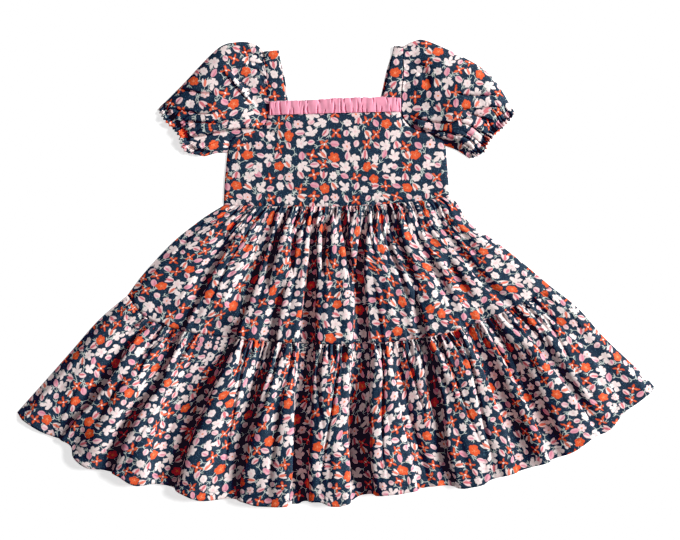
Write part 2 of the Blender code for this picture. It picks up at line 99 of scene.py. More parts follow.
# -------- creases
# Each row is one fold: how slowly the cloth rises beside it, then its stops. Seen from above by
# someone who walks along the stops, that number is above 0 for a slow rise on their left and below
# 0 for one on their right. It is 0 where both sides are steep. A stop is its x and y, half the
# fold's width, and its depth as a share of the cloth's rise, which is below 0 for a ridge. The
# skirt's folds fan out from a point above the neck, so their stops start with the distance from
# that point and the turn from straight down in degrees.
FAN_CENTRE = (0.0, 315.6)
FAN_WIDEN = 1.2  # the skirt's folds are this much wider than their rows say
FAN_FOLDS = (
    (-0.25, (238, -18.2, 4, 0), (256, -18.2, 5, 0.7), (300, -18.1, 6.5, 0.8), (345, -18.4, 8, 0.7),
     (380, -18.6, 9, 0.55), (405, -18.8, 8, 0)),
    (-0.25, (385, -18.8, 7, 0), (415, -19.8, 16, 0.9), (450, -20.5, 19, 0.95), (505, -20.9, 20, 0.95),
     (550, -20.9, 18, 0.85), (590, -20.3, 15, 0.7), (630, -20, 12, 0.55)),
    (-0.6, (290, -26, 4, 0), (318, -26.5, 5, 0.72), (345, -26.7, 5, 0.78), (378, -26.5, 5, 0.66),
     (402, -26.6, 4, 0.35), (430, -26.8, 5, 0.44), (470, -26.6, 6, 0.65), (500, -26.4, 7, 0.7),
     (540, -26.5, 7, 0.66), (590, -26.7, 7, 0.5), (660, -26.9, 7, 0.38)),
    (-0.6, (238, -15, 3, 0), (262, -14.8, 3, 0.56), (300, -14.8, 3, 0.56), (330, -14.5, 3, 0.32),
     (352, -14.3, 3, 0)),
    (-0.4, (238, -11, 3, 0), (265, -11, 3, 0.32), (300, -10.2, 3, 0.32), (325, -10, 3, 0)),
    (0, (238, -6.8, 3, 0), (256, -6.4, 4, 0.7), (300, -5.6, 6, 0.85), (350, -5.4, 8, 0.9),
     (400, -5.2, 10, 1), (462, -5, 12, 1), (520, -4.8, 12, 1), (575, -4.5, 12, 1), (640, -4.3, 11, 0.9)),
    (0, (235, -3.4, 3, 0), (252, -3.2, 3.5, 0.6), (295, -3, 3.5, 0.5), (320, -3, 3, 0)),
    (0, (230, 0, 3, 0), (250, 0.2, 3.5, 0.4), (272, 0.6, 3, 0)),
    (0, (235, 1.9, 3, 0), (255, 2.3, 4, 0.75), (300, 3, 4.5, 0.75), (330, 3.4, 5, 0.6), (350, 3.6, 3, 0)),
    (0, (226, 9.4, 3, 0), (242, 8.6, 4, 0.9), (262, 7.6, 4.5, 0.95), (290, 6.2, 5, 1), (320, 5.3, 6, 1),
     (360, 4.8, 7.5, 1), (412, 4.3, 10, 1), (440, 3.9, 12, 1), (500, 3.3, 14.5, 1), (575, 3.2, 14.5, 1),
     (640, 3.2, 13, 1)),
    (0.6, (258, 12.6, 3, 0), (280, 12.5, 3, 0.32), (305, 12.3, 3, 0.28), (332, 12, 3, 0)),
    (0.4, (236, 14.8, 3, 0), (250, 14.8, 4, 0.48), (275, 15, 4, 0.24), (300, 15.4, 4, 0.2),
     (330, 15.9, 4, 0.24), (352, 16, 3, 0)),
    (-0.4, (350, 16, 3, 0), (380, 15.9, 4, 0.31), (415, 15.4, 4.5, 0.41), (450, 15.3, 5, 0.51),
     (475, 15.1, 6, 0.54), (505, 14.8, 6, 0.54), (535, 14.2, 6, 0.51), (575, 13.9, 6, 0.48),
     (630, 13.9, 6, 0.41)),
    (2.4, (392, 9.4, 3, 0), (420, 9.5, 4, 0.62), (450, 9.6, 5, 0.81), (475, 9.7, 6, 0.88),
     (505, 9.8, 6.5, 0.81), (540, 10, 6.5, 0.75), (575, 10.3, 6, 0.69), (630, 10.6, 6, 0.5)),
    (0.6, (258, 19.3, 3, 0), (290, 19.8, 3, 0.4), (312, 20.6, 3, 0.44), (350, 21.5, 3, 0.32),
     (392, 22, 3, 0)),
    (0.6, (245, 22.3, 3, 0), (270, 22.5, 3, 0.44), (300, 23, 3, 0.24), (322, 23.5, 3, 0)),
    (0.6, (248, 25.2, 3, 0), (275, 26, 3, 0.62), (312, 27.2, 3, 0.62), (340, 28.3, 3, 0.56),
     (380, 29.3, 3, 0.48), (410, 30.8, 3, 0.38), (460, 31.6, 4, 0.43), (500, 32, 4, 0.43),
     (550, 32.3, 4, 0.28), (620, 32.8, 4, 0.2)),
    (0.6, (258, 27.6, 3, 0), (285, 28.3, 3, 0.48), (300, 28.8, 3, 0.36), (318, 30.2, 3, 0.48),
     (335, 30.6, 3, 0.28), (352, 31, 3, 0)),
    (0.6, (325, 24, 3, 0), (345, 24.6, 3, 0.44), (372, 25.2, 3, 0.37), (395, 25.6, 3, 0)),
    (0.8, (398, 22.8, 4, 0), (425, 22.9, 5, 0.59), (460, 23.1, 6, 0.7), (500, 23.1, 6, 0.64),
     (550, 23, 6, 0.49), (580, 22.6, 6, 0.39), (630, 22.2, 6, 0.29)),
    (0.8, (392, 26.3, 4, 0), (415, 26.4, 4, 0.45), (445, 26.6, 5, 0.59), (480, 26.9, 6, 0.7),
     (505, 26.9, 6, 0.74), (540, 26.8, 6, 0.74), (570, 26.6, 6, 0.64), (630, 26.3, 6, 0.49)),
    (0.8, (415, 35.6, 5, 0), (455, 36.4, 6, 0.4), (485, 37.1, 6, 0.44), (510, 37.7, 6, 0.4),
     (545, 37.7, 6, 0.31), (600, 37.2, 6, 0.18)),
    (0.5, (388, 13, 3, 0), (412, 13, 3, 0.31), (440, 13, 3, 0)),
    (-0.8, (330, -11, 4, 0), (360, -11.2, 4, 0.4), (385, -11.4, 5, 0.55), (425, -11.6, 7, 0.6),
     (465, -11.9, 8, 0.6), (500, -12.1, 9, 0.55), (540, -12.3, 9, 0.45), (595, -12.3, 8, 0.35),
     (640, -12.3, 8, 0.25)),
    (-0.7, (445, -32.8, 4, 0), (475, -32.8, 5, 0.65), (505, -32.8, 6, 0.84), (560, -32.9, 6, 0.78),
     (590, -33.5, 6, 0.52), (670, -34.3, 6, 0.39)),
    (-0.7, (425, -29.5, 4, 0), (455, -29.8, 4, 0.27), (490, -29.6, 4, 0.24), (520, -29.4, 4, 0)),
    (-0.7, (285, -34, 4, 0), (312, -34.5, 5, 0.4), (335, -35, 5, 0.32), (356, -35.3, 5, 0)),
    (-0.7, (560, -35.8, 6, 0), (590, -35.4, 6, 0.31), (640, -35, 6, 0.27)),
)
LEFT_SLEEVE_FOLDS = (
    (-1, (-94, 200, 3, 0), (-102, 214, 4, 0.8), (-111, 230, 5, 0.95), (-122, 244, 5, 0.8),
     (-138, 262, 3, 0)),
    (0, (-97, 202, 2, 0), (-108, 216, 2, -0.3), (-118, 229, 2.2, -0.4), (-130, 243, 2.2, -0.3),
     (-146, 260, 2, 0)),
    (-0.8, (-192, 165, 2.6, 0), (-178, 168, 3.4, 0.8), (-160, 171.5, 4, 1), (-140, 175.5, 4.2, 1),
     (-118, 178, 4.2, 1), (-102, 178.5, 3.4, 0.9), (-90, 178, 2, 0)),
    (0, (-202, 226, 2.4, 0), (-188, 227, 2.6, 0.3), (-168, 224, 2.4, 0.25), (-150, 222, 2.4, 0)),
    (0, (-206, 203, 2.4, 0), (-190, 202, 2.4, 0.35), (-166, 198, 2.4, 0.3), (-140, 200, 2.4, 0)),
    (0, (-196, 188, 2.4, 0), (-178, 188, 2.4, 0.4), (-158, 187, 2.4, 0.35), (-134, 190, 2.4, 0.2),
     (-120, 190, 2.4, 0)),
    (0, (-190, 163, 2.4, 0), (-176, 165, 2.4, 0.4), (-156, 167, 2.4, 0.3), (-142, 166, 2.4, 0)),
    (0, (-116, 268, 2.4, 0), (-106, 263, 2.4, 0.6), (-92, 261, 2.4, 0.5)),
    (0, (-124, 283, 2.4, 0), (-112, 276, 2.4, 0.5), (-94, 271, 2.4, 0.4)),
)
RIGHT_SLEEVE_FOLDS = (
    (0, (92, 196, 2.4, 0), (106, 192, 2.8, 0.6), (122, 188, 2.8, 0.7), (142, 187, 2.6, 0.4),
     (158, 192, 2.4, 0.3), (170, 190, 2.4, 0)),
    (0, (104, 181, 2.4, 0), (122, 177, 2.4, 0.4), (140, 175, 2.4, 0.3), (156, 168, 2.4, 0)),
    (0.4, (92, 262, 3, 0), (104, 254, 4, 0.3), (112, 240, 4, 0.3), (112, 226, 3, 0)),
    (0, (206, 224, 2.4, 0), (192, 222, 2.6, 0.4), (176, 221, 2.4, 0.3), (156, 222, 2.4, 0.2),
     (140, 226, 2.4, 0)),
    (0, (210, 206, 2.4, 0), (192, 207, 2.4, 0.4), (176, 204, 2.4, 0.3), (152, 203, 2.4, 0)),
    (0, (198, 188, 2.4, 0), (186, 192, 2.4, 0.4), (170, 197, 2.4, 0.3), (158, 199, 2.4, 0)),
    (0, (188, 168, 2.4, 0), (176, 178, 2.4, 0.4), (164, 184, 2.4, 0.3), (152, 186, 2.4, 0)),
    (0, (176, 154, 2.4, 0), (166, 166, 2.4, 0.4), (154, 171, 2.4, 0.3), (142, 172, 2.4, 0)),
)


# -------- curves and grids
def through(points, steps):
    """Points of a smooth curve through the given ones, with so many steps from one to the next."""
    knots = np.array(points, float)
    held = np.vstack([2 * knots[0] - knots[1], knots, 2 * knots[-1] - knots[-2]])
    found = [knots[0]]
    for a, b, c, d in zip(held, held[1:], held[2:], held[3:]):
        for step in range(1, steps + 1):
            t = step / steps
            bend = (2 * a - 5 * b + 4 * c - d) * t**2 + (3 * b - a - 3 * c + d) * t**3
            found.append(b + ((c - a) * t + bend) / 2)
    return np.array(found)


def even(points, count):
    """So many points, evenly spaced along a smooth curve through the given ones."""
    fine = through(points, steps=12)
    along = np.concatenate([[0], np.cumsum(np.linalg.norm(np.diff(fine, axis=0), axis=1))])
    wanted = np.linspace(0, along[-1], count)
    return np.stack([np.interp(wanted, along, fine[:, axis]) for axis in range(2)], axis=1)


def patch(top, bottom, left, right):
    """A grid of plan points between four edges: rows run from top to bottom, columns left to right."""
    v = np.linspace(0, 1, len(left))[:, None, None]
    u = np.linspace(0, 1, len(top))[None, :, None]
    across = (1 - u) * left[:, None] + u * right[:, None]
    down = (1 - v) * top[None] + v * bottom[None]
    corners = (1 - v) * ((1 - u) * top[0] + u * top[-1]) + v * ((1 - u) * bottom[0] + u * bottom[-1])
    return across + down - corners


def outlined(top, bottom, left, right, columns, rows):
    """The grid of a piece between four outlines."""
    return patch(even(top, columns), even(bottom, columns), even(left, rows), even(right, rows))


def shares(rows, columns):
    """How far down and how far across each point of a grid is, from 0 to 1."""
    return np.meshgrid(np.linspace(0, 1, rows), np.linspace(0, 1, columns), indexing="ij")


def rise(t):
    """A smooth step from 0 to 1."""
    t = np.clip(t, 0, 1)
    return t * t * (3 - 2 * t)


def uneven(across, down, seed):
    """Smooth wandering values from -1 to 1: one knot for each whole step across and down."""
    size = 97
    knots = np.random.default_rng(seed).uniform(-1, 1, (size, size))
    i, j = np.floor(across).astype(int), np.floor(down).astype(int)
    s, t = rise(across - i), rise(down - j)

    def between(row):
        return (1 - s) * knots[i % size, row % size] + s * knots[(i + 1) % size, row % size]

    return (1 - t) * between(j) + t * between(j + 1)


def ridge(distance, width):
    """A soft ridge 1 high, by the distance from its crest."""
    return np.exp(-((distance / width) ** 2))


def arch(across):
    """A rounded arch over a piece's width: 0 at both sides and 1 in the middle."""
    return (4 * across * (1 - across)) ** 0.5


def not_below(height, sharp):
    """A height that never falls below 0. The larger sharp is, the tighter it bends there."""
    return np.logaddexp(0, sharp * height) / sharp


# -------- creases
def fanned(fold):
    """One of the skirt's folds, from the fan's distances and turns to plan points."""
    rows = np.array(fold[1:], float)
    turn = np.radians(rows[:, 1])
    x = FAN_CENTRE[0] + rows[:, 0] * np.sin(turn)
    y = FAN_CENTRE[1] - rows[:, 0] * np.cos(turn)
    return fold[0], *np.stack([x, y, FAN_WIDEN * rows[:, 2], rows[:, 3]], axis=1)


def pressed(plan, folds):
    """What the folds together leave of the cloth's rise at each plan point.

    A fold's steep side drops sharply at its half width. A slow side is softer and reaches further.
    """
    left = np.ones(plan.shape[:-1])
    for ease, *stops in folds:
        line = through(stops, steps=6)
        line[:, 3] = np.where(line[:, 3] < 0, line[:, 3], 1 - (1 - np.clip(line[:, 3], 0, 1)) ** 1.5)
        margin = (3 + 2.5 * abs(ease)) * line[:, 2].max()
        low, high = line[:, :2].min(axis=0) - margin, line[:, :2].max(axis=0) + margin
        near = np.all((plan > low) & (plan < high), axis=-1)
        points = plan[near]
        if not len(points):
            continue
        closest, to_left = np.full(len(points), np.inf), np.zeros(len(points))
        width, depth = np.ones(len(points)), np.zeros(len(points))
        for a, b in zip(line, line[1:]):
            run, off = b[:2] - a[:2], points - a[:2]
            t = np.clip(off @ run / (run @ run), 0, 1)
            away = np.linalg.norm(off - t[:, None] * run, axis=1)
            nearer = away < closest
            closest[nearer] = away[nearer]
            to_left[nearer] = (run[0] * off[:, 1] - run[1] * off[:, 0])[nearer]
            width[nearer] = (a[2] + t * (b[2] - a[2]))[nearer]
            depth[nearer] = (a[3] + t * (b[3] - a[3]))[nearer]
        slow = np.where(to_left * ease > 0, abs(ease), 0)
        wide = (1 + 2.2 * slow) * width
        left[near] *= 1 - depth * np.exp(-((closest / wide) ** (6 - 4.4 * np.minimum(slow, 1))))
    return left


def slits(along, down, seed, pitch, width, reach, depth):
    """Small gathers below a seam: narrow slits between soft pleats, uneven in each of the last four.

    along is the distance along the seam and down the distance from it.
    """
    draw = np.random.default_rng(seed)
    total = np.zeros(along.shape)
    place = along.min() + pitch * draw.uniform(0.3, 0.9)
    while place < along.max():
        half = width * draw.uniform(0.6, 1.35)
        long = reach * draw.uniform(0.35, 1.5)
        deep = depth * draw.uniform(0.5, 1.2)
        drift = draw.uniform(-0.12, 0.12)
        bow = 1.5 * draw.uniform(-1, 1)
        away = np.abs(along - place - drift * down - bow * np.sin(down / long * 3))
        fade = rise(1.15 * (1 - down / long))
        total += deep * np.exp(-((away / half) ** 1.7)) * fade
        place += pitch * draw.uniform(0.55, 1.5)
    return total


def downhill(plan, height):
    """Plan steps that draw cloth down its own slopes, so crests grow round and creases narrow."""
    zu, zv = np.gradient(height, axis=1), np.gradient(height, axis=0)
    pu, pv = np.gradient(plan, axis=1), np.gradient(plan, axis=0)
    turn = pu[..., 0] * pv[..., 1] - pu[..., 1] * pv[..., 0]
    slope_x = (zu * pv[..., 1] - zv * pu[..., 1]) / turn
    slope_y = (zv * pu[..., 0] - zu * pv[..., 0]) / turn
    slope = np.stack([slope_x, slope_y], axis=-1)
    steep = np.linalg.norm(slope, axis=-1, keepdims=True)
    return -PULL * slope / np.maximum(1, steep / STEEPEST)


# -------- shells of cotton
def measured(points):
    """How far along its row and down its column each point of a cloth is, following the cloth."""
    rows = np.linalg.norm(np.diff(points, axis=1), axis=2)
    columns = np.linalg.norm(np.diff(points, axis=0), axis=2)
    across = np.pad(np.cumsum(rows, axis=1), ((0, 0), (1, 0)))
    down = np.pad(np.cumsum(columns, axis=0), ((1, 0), (0, 0)))
    return across, down


def flattened(points, start, rounds):
    """Where a cloth's points lie once it is spread flat: each moves until its threads keep their lengths.

    In each round a thread moves both its ends by a share of what it is too long or too short.
    """
    share, carried_over = 0.125, 0.9
    flat = start.astype(float)
    move = np.zeros_like(flat)
    for _ in range(rounds):
        move *= carried_over
        for down, across in ((0, 1), (1, 0), (1, 1), (1, -1)):
            if across < 0:
                near, far = np.s_[:-down, -across:], np.s_[down:, :across]
            else:
                near = np.s_[: len(flat) - down, : flat.shape[1] - across]
                far = np.s_[down:, across:]
            wanted = np.linalg.norm(points[far] - points[near], axis=-1)
            gap = flat[far] - flat[near]
            push = gap * (share * (1 - wanted / np.linalg.norm(gap, axis=-1)))[..., None]
            move[near] += push
            move[far] -= push
        flat += move
    return flat


def gathered_cut(points):
    """A first guess at the flat cut of a gathered cloth: every row is as wide as the widest one."""
    across, down = measured(points)
    return np.stack([across[:, -1].max() * (across / across[:, -1:] - 0.5), -down], axis=-1)


def grained(flat, place, turn=0.0):
    """Lays a flat cut on the print: turned by so many degrees and moved to its place."""
    c, s = math.cos(math.radians(turn)), math.sin(math.radians(turn))
    return flat @ np.array([[c, s], [-s, c]]) + np.array(place)


def quads(grid):
    """The four corners of each face between the points of a grid."""
    return np.stack([grid[:-1, :-1], grid[1:, :-1], grid[1:, 1:], grid[:-1, 1:]], axis=-1)


def shell(name, points, cut, finish, edges=None, seam=None):
    """A thin cloth over a grid of points.

    cut is where each point lies on the flat print. edges is how far it is along and in from a stitched
    edge, if the piece shows one. A tube has a seam: its last column of points is its first one again,
    and cut and edges have the seam's column twice, once for the cloth on each side of it.
    """
    rows, columns = points.shape[:2]
    kept = columns if seam is None else columns - 1
    index = np.arange(rows * kept).reshape(rows, kept)
    corners = quads(np.arange(rows * cut.shape[1]).reshape(rows, -1))
    if seam is not None:
        index = np.hstack([index, index[:, :1]])
        corners = np.delete(corners, seam, axis=1)
    if edges is None:
        edges = np.full(cut.shape, 99.0)
    faces = quads(index).reshape(-1, 4)
    mesh = bpy.data.meshes.new(name)
    mesh.from_pydata((points[:, :kept].reshape(-1, 3) * MM).tolist(), [], faces.tolist())
    for title, values in (("cut", cut), ("edges", edges)):
        flat = values.reshape(-1, 2)[corners.reshape(-1)] * MM
        mesh.uv_layers.new(name=title).data.foreach_set("uv", flat.astype(np.float32).ravel())
    mesh.materials.append(finish)
    mesh.polygons.foreach_set("use_smooth", [True] * len(faces))
    mesh.update()
    cloth = bpy.data.objects.new(name, mesh)
    bpy.context.scene.collection.objects.link(cloth)
    thick = cloth.modifiers.new("thickness", "SOLIDIFY")
    thick.thickness = COTTON * MM
    thick.offset = -1
    return cloth


def raised(plan, height):
    """Plan points with their heights."""
    return np.concatenate([plan, height[..., None]], axis=-1)


def from_edges(plan):
    """How far each grid point is, in plan, from the side edges and from the last row."""
    across, down = measured(plan)
    side = np.minimum(across, across[:, -1:] - across)
    return side, down[-1:] - down


def along_hem(plan):
    """How far each grid point is along a hem in the last row, and in from it."""
    return np.stack([measured(plan)[0], from_edges(plan)[1]], axis=-1)


def front_floor(side):
    """How low a front layer lies, by the distance from its side edge, where it meets the back."""
    return LAYER - 0.8 * (1 - rise(side / 4))


# -------- skirt
WAIST_LOFT = 7.0  # rise of the upper tier's folds at the waist
SKIRT_LOFT = 16.0  # their rise in the middle of the tier
SEAM_LOFT = 14.5  # rise of both tiers beside the seam that joins them
TALLEST = 26.0  # rise of the lower tier's folds


def fan_of(plan):
    """Each plan point's distance from the fan's centre and its turn from straight down, in degrees."""
    off = plan - np.array(FAN_CENTRE)
    return np.hypot(off[..., 0], off[..., 1]), np.degrees(np.arctan2(off[..., 0], -off[..., 1]))


def billow(plan):
    """The uneven crests and small ripples of the skirt's cloth, as a share of its rise."""
    distance, turn = fan_of(plan)
    broad = 0.14 * uneven(turn / 6 + 40, distance / 110, 3)
    narrow = 0.13 * uneven(turn / 2.1 + 60, distance / 90, 4)
    fine = 0.08 * uneven(turn / 0.9 + 90, distance / 70, 5)
    return 0.86 + broad + narrow + fine


def settled(plan):
    """How far a tier's front has risen off the back, from its side edges inwards."""
    side = from_edges(plan)[0]
    return 0.35 * rise(side / 14) + 0.65 * rise(side / 140)


def drawn(plan, height, hemmed):
    """The grid's points after the cloth is drawn down the slopes of its folds. Only its seams hold it.

    The top of a tall fold goes furthest, so its wall stands upright or leans over.
    """
    side, to_last = from_edges(plan)
    free = rise(side / 15) * (0.4 + 5 * (height / TALLEST) ** 2) * rise(measured(plan)[1] / 8)
    if not hemmed:
        free = free * rise(to_last / 8)
    return plan + downhill(plan, height) * free[..., None]


def gathered(plan, sorts):
    """The gathers below a tier's top seam. Each sort has its seed, pitch, width, reach and depth."""
    across, down = measured(plan)
    along = shares(*plan.shape[:2])[1] * across[0, -1]
    return sum(slits(along, down, *sort) for sort in sorts) * rise(down / 3 + 0.2) * settled(plan)


def front_tier(name, plan, loft, puffed, gathers, seams, place, hemmed, finish):
    """A tier's front: its folds and the puff below its top seam, less its gathers and its seams' dips."""
    pressed_down = pressed(plan, [fanned(fold) for fold in FAN_FOLDS])
    folded = loft * billow(plan) * pressed_down * settled(plan)
    puff = puffed * ridge(measured(plan)[1] - 9, 7) * pressed_down
    height = not_below(folded + puff * settled(plan) - gathers - seams, sharp=2.2)
    points = raised(drawn(plan, folded, hemmed), front_floor(from_edges(plan)[0]) + height)
    cut = grained(flattened(points, gathered_cut(points), rounds=60), place)
    return shell(name, points, cut, finish, along_hem(plan) if hemmed else None)


def upper_tier(finish):
    plan = outlined(WAIST, TIER_SEAM, SKIRT_LEFT, SKIRT_RIGHT, columns=640, rows=62)
    down, to_seam = measured(plan)[1], from_edges(plan)[1]
    loft = WAIST_LOFT + (SKIRT_LOFT - WAIST_LOFT) * rise(down / 55)
    loft += (SEAM_LOFT - loft) * rise(1 - to_seam / 55)
    gathers = gathered(plan, ((11, 5.0, 1.0, 17, 5.0), (12, 9.5, 2.0, 72, 9.0), (13, 21, 1.4, 150, 4.5)))
    gathers *= 0.2 + 0.8 * rise(to_seam / 14)
    seams = 2.4 * ridge(down, 2.5) + 1.2 * ridge(to_seam, 3.5)
    return front_tier("skirt_front_cloth", plan, loft, 2.6, gathers, seams, (3, 0), False, finish)


def lower_tier(finish):
    plan = outlined(TIER_SEAM, HEM, TIER_LEFT, TIER_RIGHT, columns=690, rows=68)
    down, to_hem = measured(plan)[1], from_edges(plan)[1]
    loft = (SEAM_LOFT + (TALLEST - SEAM_LOFT) * rise(down / 70)) * (0.62 + 0.38 * rise(to_hem / 45))
    gathers = gathered(plan, ((21, 6.0, 1.3, 20, 5.0), (22, 12, 2.3, 68, 8.5), (23, 21, 1.5, 180, 5.0)))
    seams = 1.2 * ridge(down, 3.5)
    return front_tier("tier_front_cloth", plan, loft, 2.4, gathers, seams, (17, -231), True, finish)


def lying(plan, seed):
    """The height of a back panel: pressed on the table, with low creases in the fan's direction."""
    distance, turn = fan_of(plan)
    ripple = 0.35 * uneven(turn / 2.2 + 50, distance / 90, seed)
    ripple += 0.2 * uneven(turn / 0.9 + 90, distance / 60, seed + 1)
    return BACK_LIES + np.clip(0.35 + ripple, 0, 0.9) * rise(from_edges(plan)[0] / 10)


def back_tiers(finish):
    plan = outlined(WAIST, TIER_SEAM, SKIRT_LEFT, SKIRT_RIGHT, columns=170, rows=40)
    points = raised(plan, lying(plan, 31))
    upper = shell("skirt_back_cloth", points, grained(plan, (140, 90)), finish)
    plan = outlined(TIER_SEAM, HEM, TIER_LEFT, TIER_RIGHT, columns=220, rows=50)
    points = raised(plan, lying(plan, 33))
    return upper, shell("tier_back_cloth", points, grained(plan, (60, 300)), finish, along_hem(plan))


# -------- chest panels
CHEST_FOLDS = (
    (0, (-104, 177, 3, 0), (-98, 178, 4, 0.7), (-88, 177, 4, 0.6), (-76, 172, 3, 0.3), (-64, 168, 3, 0)),
    (0, (-120, 168, 4, 0), (-112, 160, 5, 0.35), (-104, 148, 4, 0)),
    (0, (96, 178, 3, 0), (90, 170, 5, 0.35), (80, 160, 5, 0.25), (70, 150, 3, 0)),
    (0, (130, 165, 3, 0), (122, 152, 5, 0.3), (118, 134, 4, 0)),
)


def chest(columns, rows):
    """The grid of a chest panel, from the straps' feet down to the waist."""
    left = even(LEFT_ARMHOLE[STRAP_KNOTS - 1 :] + LEFT_SIDE[1:], rows)
    right = even(RIGHT_ARMHOLE[STRAP_KNOTS - 1 :] + RIGHT_SIDE[1:], rows)
    top = np.linspace(left[0], right[0], columns)
    return patch(top, even(WAIST, columns), left, right)


def bodice(finish):
    plan = chest(columns=220, rows=110)
    down, across = shares(*plan.shape[:2])
    side, to_waist = from_edges(plan)
    pillow = 3.2 * arch(across) * (0.35 + 0.65 * rise(3 * (1 - down)))
    pillow = pillow * (1 + 0.16 * uneven(plan[..., 0] / 30 + 20, plan[..., 1] / 24 + 20, 41))
    pillow *= 0.5 + 0.5 * rise((measured(plan)[1] - 15) / 14)
    pucker = slits(across * 283, to_waist, seed=42, pitch=5.6, width=1.2, reach=10, depth=1.3)
    pucker *= rise(to_waist / 2)
    height = pillow * pressed(plan, CHEST_FOLDS) + 0.9 - 0.9 * ridge(to_waist, 2.5)
    height = np.maximum(height - pucker * rise(side / 8), 0.02)
    points = raised(plan, front_floor(side) + height)
    front = shell("bodice_front_cloth", points, grained(plan, (37, 20)), finish)
    plan = chest(columns=90, rows=46)
    wander = uneven(plan[..., 0] / 34 + 20, plan[..., 1] / 30 + 20, 43)
    points = raised(plan, BACK_LIES + (0.3 + 0.25 * wander * rise(from_edges(plan)[0] / 10)))
    return front, shell("bodice_back_cloth", points, grained(plan, (205, 30)), finish)


def ruffle(finish):
    """The pink strip: gathered along its lower edge, its folded top edge free and a little wavy."""
    columns, rows, width, length = 560, 26, 167, 17.5
    down, across = shares(rows, columns)
    left = np.array(LEFT_ARMHOLE[STRAP_KNOTS - 1]) + (0.9, 0)
    right = np.array(RIGHT_ARMHOLE[STRAP_KNOTS - 1]) - (0.9, 0)
    plan = np.repeat(np.linspace(left, right, columns)[None], rows, axis=0)
    plan[..., 1] += 1.3 * uneven(across * 21, across * 0 + 3, 52) * (1 - down) - down * length
    plan[..., 1] += 0.5 * uneven(across * 64, across * 0 + 7, 57) * (1 - down)
    along, up = across * width, (1 - down) * length
    pleats = slits(along, up, 53, 9, 0.7, 15, 2.8) + slits(along, up, 54, 17, 3.0, 60, 0.6)
    pleats += slits(along, length - up, 56, 12, 0.7, 8, 1.6)
    crest = 1.4 + 1.6 * rise(up / 12) + 0.45 * uneven(across * 24, down * 1.5, 55)
    side = np.minimum(across, 1 - across) * width
    height = (crest - pleats * rise(up / 4 + 0.5)) * rise(side / 3 + 0.3)
    chest_top = LAYER + 1.1 + 1.9 * arch(across)
    points = raised(plan, chest_top + 0.5 + not_below(height, sharp=3))
    return shell("neck_ruffle_cloth", points, plan, finish, edges=np.stack([along, up], axis=-1))


def strap(name, armhole, inside, finish):
    """A doubled band folded over at the shoulder, its back leg slipped a little towards the neck."""
    columns, front_rows, round_rows = 24, 70, 9
    outer, inner = even(armhole[:STRAP_KNOTS], front_rows), even(inside, front_rows)
    share = np.linspace(0, 1, columns)[None, :, None]
    front = (outer[:, None] * (1 - share) + inner[:, None] * share)[::-1]
    down, across = shares(front_rows, columns)
    neckward = np.sign(inner[0, 0] - outer[0, 0])
    crown = 1.2 * arch(across) + 0.5 * uneven(across * 2 + 5, down * 6, 61)
    top_z = LAYER + 0.5 + crown + 1.1 * rise((down - 0.75) * 4)
    bend = np.radians(np.linspace(80, -80, round_rows))[:, None]
    radius = (top_z[-1] - BACK_LIES) / 2
    turned = np.repeat(front[-1][None], round_rows, axis=0)
    turned[..., 1] += radius * (np.cos(bend) - 1)
    turned_z = BACK_LIES + radius + radius * np.sin(bend)
    back = front[::-1][::2][1:].copy()
    slip = rise(np.linspace(0, 2, len(back)))[:, None] * np.linspace(0.25, 1, columns)[None]
    back[..., 0] += 2.8 * neckward * slip
    plan = np.concatenate([front, turned, back])
    points = raised(plan, np.concatenate([top_z, turned_z, np.full(back.shape[:2], BACK_LIES)]))
    across, down = measured(points)
    cut = grained(np.stack([across, -down], axis=-1), (90 + 80 * neckward, -30))
    return shell(name + "_cloth", points, cut, finish)


